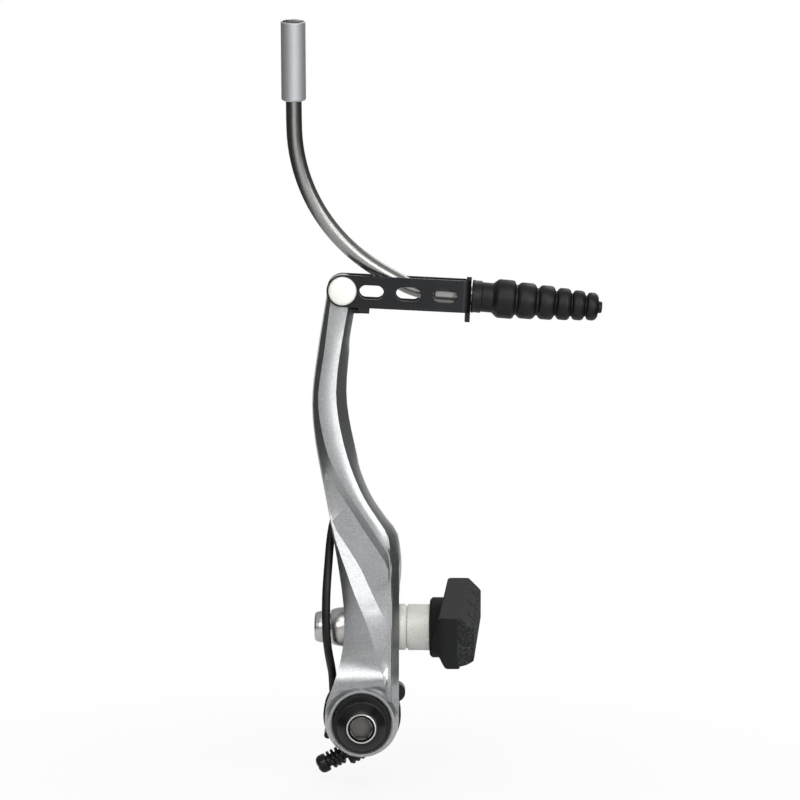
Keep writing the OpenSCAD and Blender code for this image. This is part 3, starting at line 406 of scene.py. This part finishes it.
# %% Dress the pieces
finishes = {
    "arm": (silver_paint, 0.5),
    "pivot_bushing": (bright_steel, 0.1),
    "mounting_bolt": (black_coat, 0.2),
    "spring_holder": (holder_nylon, 0.15),
    "stopper_pin": (bright_steel, 0.1),
    "adjusting_screw": (black_coat, 0.12),
    "adjuster_spring": (black_coat, 0),
    "spring_peg": (bright_steel, 0),
    "link": (dark_link, 0.2),
    "link_rivet": (silver_rivet, 0.2),
    "link_bumper": (holder_nylon, 0.15),
    "noodle_tip": (noodle_steel, 0.15),
    "noodle_tube": (noodle_steel, 0),
    "noodle_liner": (liner_plastic, 0),
    "noodle_ferrule": (ferrule_alloy, 0.2),
    "boot": (boot_rubber, 0.15),
    "inner_dome_washer": (bright_steel, 0.1),
    "outer_dome_washer": (blasted_alloy, 0.12),
    "spacer": (blasted_alloy, 0.12),
    "outer_cup_washer": (bright_steel, 0.12),
    "shoe_stud": (bright_steel, 0.1),
    "backing_plate": (bright_steel, 0.1),
    "shoe_rubber": (shoe_compound, 0.3),
    "shoe_nut": (bright_steel, 0.15),
}
# The link's bevels take the lighter steel of the painted edge highlight.
special = {"arm": {"crease": cast_crease}, "link": {"edge_material": edge_highlight_steel}}
pieces = {}
for node, (material, round_mm) in finishes.items():
    pieces[node] = dressed(node, material, round_mm, **special.get(node, {}))
print("dressed", len(pieces), "pieces")

# %% [markdown]
# The key has worn the black coat off the bolt's socket, and the ring round its mouth is rubbed
# bright.
# The walls and the bottom get a darker steel, which is painted shade in the deep socket. A second and
# a third material on those faces alone are the plainest way: the faces are found by how far their
# corners lie from the bolt's axis.

# %% Bare steel and painted shade in the bolt's socket
HEX_CORNER_MM = 2.95
RING_INNER_MM, RING_OUTER_MM = 3.2, 3.8
RING_DEPTH_MM = 0.1
SOCKET_DEPTH_MM = 5.5
bare_steel, _ = start_material(
    "bare steel rubbed by the key", "#D0CFCB", roughness=0.3, metallic=1.0)
# The darker steel of the walls and the bottom is painted shade in the deep socket.
socket_shade_steel, _ = start_material(
    "steel darkened as painted shade in the socket", "#6E6C69", roughness=0.45, metallic=1.0)


def add_finish(piece, material, belongs):
    """Gives a further material to those faces of a piece whose corners, in mm, all pass the test."""
    mesh = pieces[piece].data
    mesh.materials.append(material)
    chosen = [face for face in mesh.polygons
              if all(belongs(mesh.vertices[corner].co / MM) for corner in face.vertices)]
    for face in chosen:
        face.material_index = len(mesh.materials) - 1
    print(piece, "has", len(chosen), "faces of", material.name)


def off_axis(corner):
    """Distance of a corner from the bolt's axis, which is also the pivot's."""
    return Vector((corner.x, corner.z)).length


def in_socket(corner):
    """Whether a corner belongs to the walls or the bottom of the socket."""
    return off_axis(corner) < HEX_CORNER_MM and corner.y < head_front + SOCKET_DEPTH_MM


def on_ring(corner):
    """Whether a corner belongs to the ring round the socket's mouth."""
    on_front = corner.y < head_front + RING_DEPTH_MM
    return on_front and RING_INNER_MM < off_axis(corner) < RING_OUTER_MM


head_front = min(v.co.y for v in pieces["mounting_bolt"].data.vertices) / MM
# The walls and the bottom of the socket get the painted shade, and the mouth's ring gets the bare
# steel.
add_finish("mounting_bolt", socket_shade_steel, in_socket)
add_finish("mounting_bolt", bare_steel, on_ring)

# %% [markdown]
# The friction part of the shoe is another compound than the part that holds it: it has been ground,
# so it's grainy and dusty, while the holding part is as the mould left it. Both are one moulding, so
# one solid carries both, and they are told apart by how far a face lies towards the rim, measured
# square to the rubbing face because the shoe stands slightly toed in. The dust shows only where the
# noise is high, so it comes in specks.

# %% Ground friction part of the shoe
FRICTION_MM = 4.9
GROUND_GRAIN_MM = 0.4
COMPOUND_BLACK, DUST_GREY = "#18191A", "#505252"
friction_compound, shader = start_material(
    "ground friction compound", COMPOUND_BLACK, roughness=0.85)
shader.inputs["Specular IOR Level"].default_value = 0.3
place = add(friction_compound, "ShaderNodeTexCoord")
grains = add(friction_compound, "ShaderNodeTexNoise",
             {"Scale": per_metre(GROUND_GRAIN_MM), "Detail": 4.0},
             {"Vector": place.outputs["Object"]})
dust = add(friction_compound, "ShaderNodeMapRange", {"From Min": 0.5, "From Max": 0.8},
           {"Value": grains.outputs["Fac"]})
dusty = add(friction_compound, "ShaderNodeMix",
            {6: linear(COMPOUND_BLACK), 7: linear(DUST_GREY)},
            {"Factor": dust.outputs["Result"]}, data_type="RGBA")
gritty = add(friction_compound, "ShaderNodeBump", {"Strength": 0.7, "Distance": 0.12 * MM},
             {"Height": grains.outputs["Fac"]})
friction_compound.node_tree.links.new(dusty.outputs[2], shader.inputs["Base Color"])
friction_compound.node_tree.links.new(gritty.outputs["Normal"], shader.inputs["Normal"])
shoe_mesh = pieces["shoe_rubber"].data
rimward = [face for face in shoe_mesh.polygons if face.normal.x > 0.9]
toward_rim = max(rimward, key=lambda face: face.area).normal.copy()
rim_reach = max(v.co.dot(toward_rim) for v in shoe_mesh.vertices) / MM
add_finish("shoe_rubber", friction_compound,
           lambda corner: corner.dot(toward_rim) > rim_reach - FRICTION_MM)

# %% [markdown]
# The return spring and its sleeve are fixed to the spring holder at one end and pushed by the arm at
# the other, so they bend when the arm swings. Here they are copied like the rest, without a bevel,
# and their place is moved into the mesh itself.

# %% Spring and sleeve
WIRE_SHARP = radians(60)
for node, material in (("return_spring", black_coat), ("spring_sleeve", boot_rubber)):
    mesh, shape = welded_copy(node)
    pieces[node] = make_piece(node, mesh, shape, material, same_crease(WIRE_SHARP))
    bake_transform(pieces[node])
    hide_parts(node)
    print(node, "bends with the arm")

# %% [markdown]
# The camera stands where the photographer stood. The place was worked out from the photograph: how
# far the pivot, the rivet and the ferrule lie apart in it, and how much of the washers' faces shows.
# A long lens from nearly a metre away gives the same flat perspective.

# %% Camera at the photographer's place
CAMERA_MM = (9.48, -917, 164.4)
TARGET_MM = (9.48, -10, 80.24)
LENS_MM, SENSOR_MM = 167.4, 36
camera = bpy.data.objects.new("camera", bpy.data.cameras.new("camera"))
bpy.context.collection.objects.link(camera)
camera.location = Vector(CAMERA_MM) * MM
target = Vector(TARGET_MM) * MM
camera.rotation_euler = (target - camera.location).to_track_quat("-Z", "Y").to_euler()
camera.data.lens = LENS_MM
camera.data.sensor_width = SENSOR_MM
camera.data.clip_start = 10 * MM
bpy.context.scene.camera = camera
print("camera is", round((target - camera.location).length, 3), "m from the brake")

# %% [markdown]
# The brake stands on a roll of white paper in a studio. The roll is only a third of a metre wide:
# the steel tube mirrors it as one narrow streak, and the flanks of the arm look past it into the
# dark room, which a wide white floor would not allow. Paper that is lit by lamps turns grey with
# distance, so what the camera sees of it fades into plain white away from the brake, while near the
# brake enough of the real paper stays to hold the soft shadow.

# %% White paper floor
PAPER_HALF_WIDTH = 0.17
PAPER_FRONT, PAPER_BACK = -1.4, 0.9
SHADOW_NEAR, SHADOW_FAR = 0.06, 0.16
GLOW_AT_BRAKE = 0.88
floor_z = cad_low.z - 1 * MM
paper, shader = start_material("white paper", "#F4F4F4", roughness=0.9)
spot = add(paper, "ShaderNodeNewGeometry")
away = add(paper, "ShaderNodeVectorMath", links={0: spot.outputs["Position"]}, operation="LENGTH")
fading = add(paper, "ShaderNodeMapRange",
             {"From Min": SHADOW_NEAR, "From Max": SHADOW_FAR,
              "To Min": GLOW_AT_BRAKE, "To Max": 1.0},
             {"Value": away.outputs["Value"]})
rays = add(paper, "ShaderNodeLightPath")
share = add(paper, "ShaderNodeMath", operation="MULTIPLY",
            links={0: fading.outputs["Result"], 1: rays.outputs["Is Camera Ray"]})
glow = add(paper, "ShaderNodeEmission", {"Color": linear("#FFFFFF"), "Strength": 1.0})
paper_look = add(paper, "ShaderNodeMixShader",
                 links={0: share.outputs["Value"], 1: shader.outputs[0], 2: glow.outputs[0]})
paper_end = paper.node_tree.nodes["Material Output"]
paper.node_tree.links.new(paper_look.outputs[0], paper_end.inputs["Surface"])

corners = [(-PAPER_HALF_WIDTH, PAPER_FRONT, floor_z), (PAPER_HALF_WIDTH, PAPER_FRONT, floor_z),
           (PAPER_HALF_WIDTH, PAPER_BACK, floor_z), (-PAPER_HALF_WIDTH, PAPER_BACK, floor_z)]
floor_mesh = bpy.data.meshes.new("floor")
floor_mesh.from_pydata(corners, [], [(0, 1, 2, 3)])
floor_mesh.materials.append(paper)
floor = bpy.data.objects.new("floor", floor_mesh)
bpy.context.collection.objects.link(floor)
print("floor at", round(floor_z / MM, 1), "mm")

# %% [markdown]
# Metal shows what stands round it, so the world is drawn as a studio: a white backdrop behind the
# brake, a half bright ceiling, and dark sides and front. The dark sides give the tube and the flanks
# of the arm their dark edges, which an evenly white world would wash out. The camera itself sees
# white. Both ranges below are parts of a direction's length, so 1 is straight back or straight up.

# %% Studio world
BACKDROP_FROM, BACKDROP_FULL = 0.82, 0.95
CEILING_FROM, CEILING_FULL = 0.1, 0.9
DARK_ROOM, CEILING_LIGHT = 0.05, 0.5
world = bpy.data.worlds.new("studio")
bpy.context.scene.world = world
world.use_nodes = True
backdrop = world.node_tree.nodes["Background"]
backdrop.inputs["Color"].default_value = linear("#FFFFFF")
view_from = add(world, "ShaderNodeTexCoord")
way = add(world, "ShaderNodeSeparateXYZ", links={0: view_from.outputs["Generated"]})
behind = add(world, "ShaderNodeMapRange",
             {"From Min": BACKDROP_FROM, "From Max": BACKDROP_FULL, "To Min": 0.0, "To Max": 1.0},
             {"Value": way.outputs["Y"]})
ceiling = add(world, "ShaderNodeMapRange",
              {"From Min": CEILING_FROM, "From Max": CEILING_FULL,
               "To Min": DARK_ROOM, "To Max": CEILING_LIGHT},
              {"Value": way.outputs["Z"]})
brightest = add(world, "ShaderNodeMath", operation="MAXIMUM",
                links={0: behind.outputs["Result"], 1: ceiling.outputs["Result"]})
rays = add(world, "ShaderNodeLightPath")
seen = add(world, "ShaderNodeMath", operation="MAXIMUM",
           links={0: brightest.outputs["Value"], 1: rays.outputs["Is Camera Ray"]})
world.node_tree.links.new(seen.outputs["Value"], backdrop.inputs["Strength"])
bpy.context.scene.view_settings.view_transform = "Standard"
print("world:", len(world.node_tree.nodes), "nodes")

# %% [markdown]
# Product photographs of bare metal are lit with large soft boxes, because metal shows what it
# reflects. The front box stands a little to the right of the camera and gives the front of the arm
# its broad sheen. The right box lights what is turned that way, such as the spacer and the arm's
# edge. The small left box is there for the hollow above the boss, and the rest of the left stays dark
# on purpose. The top box draws light lines along the tops of the tube and the link, and the back box
# keeps the arm's back from turning black when the brake is seen from behind.

# %% Soft boxes
LAMP_AIM = Vector((0, 0, 60)) * MM


def soft_box(name, place, width, height, power):
    """An area lamp of a size in metres and a power in watts that looks at the middle of the arm."""
    lamp = bpy.data.objects.new(name, bpy.data.lights.new(name, "AREA"))
    bpy.context.collection.objects.link(lamp)
    lamp.location = place
    lamp.data.shape = "RECTANGLE"
    lamp.data.size = width
    lamp.data.size_y = height
    lamp.data.energy = power
    lamp.rotation_euler = (LAMP_AIM - lamp.location).to_track_quat("-Z", "Y").to_euler()


soft_box("front box", (0.4, -1.1, 0.36), width=0.4, height=0.72, power=5.1)
soft_box("right box", (0.8, -0.75, 0.35), width=0.4, height=0.5, power=2.4)
soft_box("left box", (-0.42, -0.95, 0.4), width=0.3, height=0.3, power=2.2)
soft_box("top box", (0.0, -0.7, 0.85), width=0.6, height=0.6, power=2.8)
soft_box("back box", (0.35, 0.75, 0.9), width=0.5, height=0.5, power=2.5)
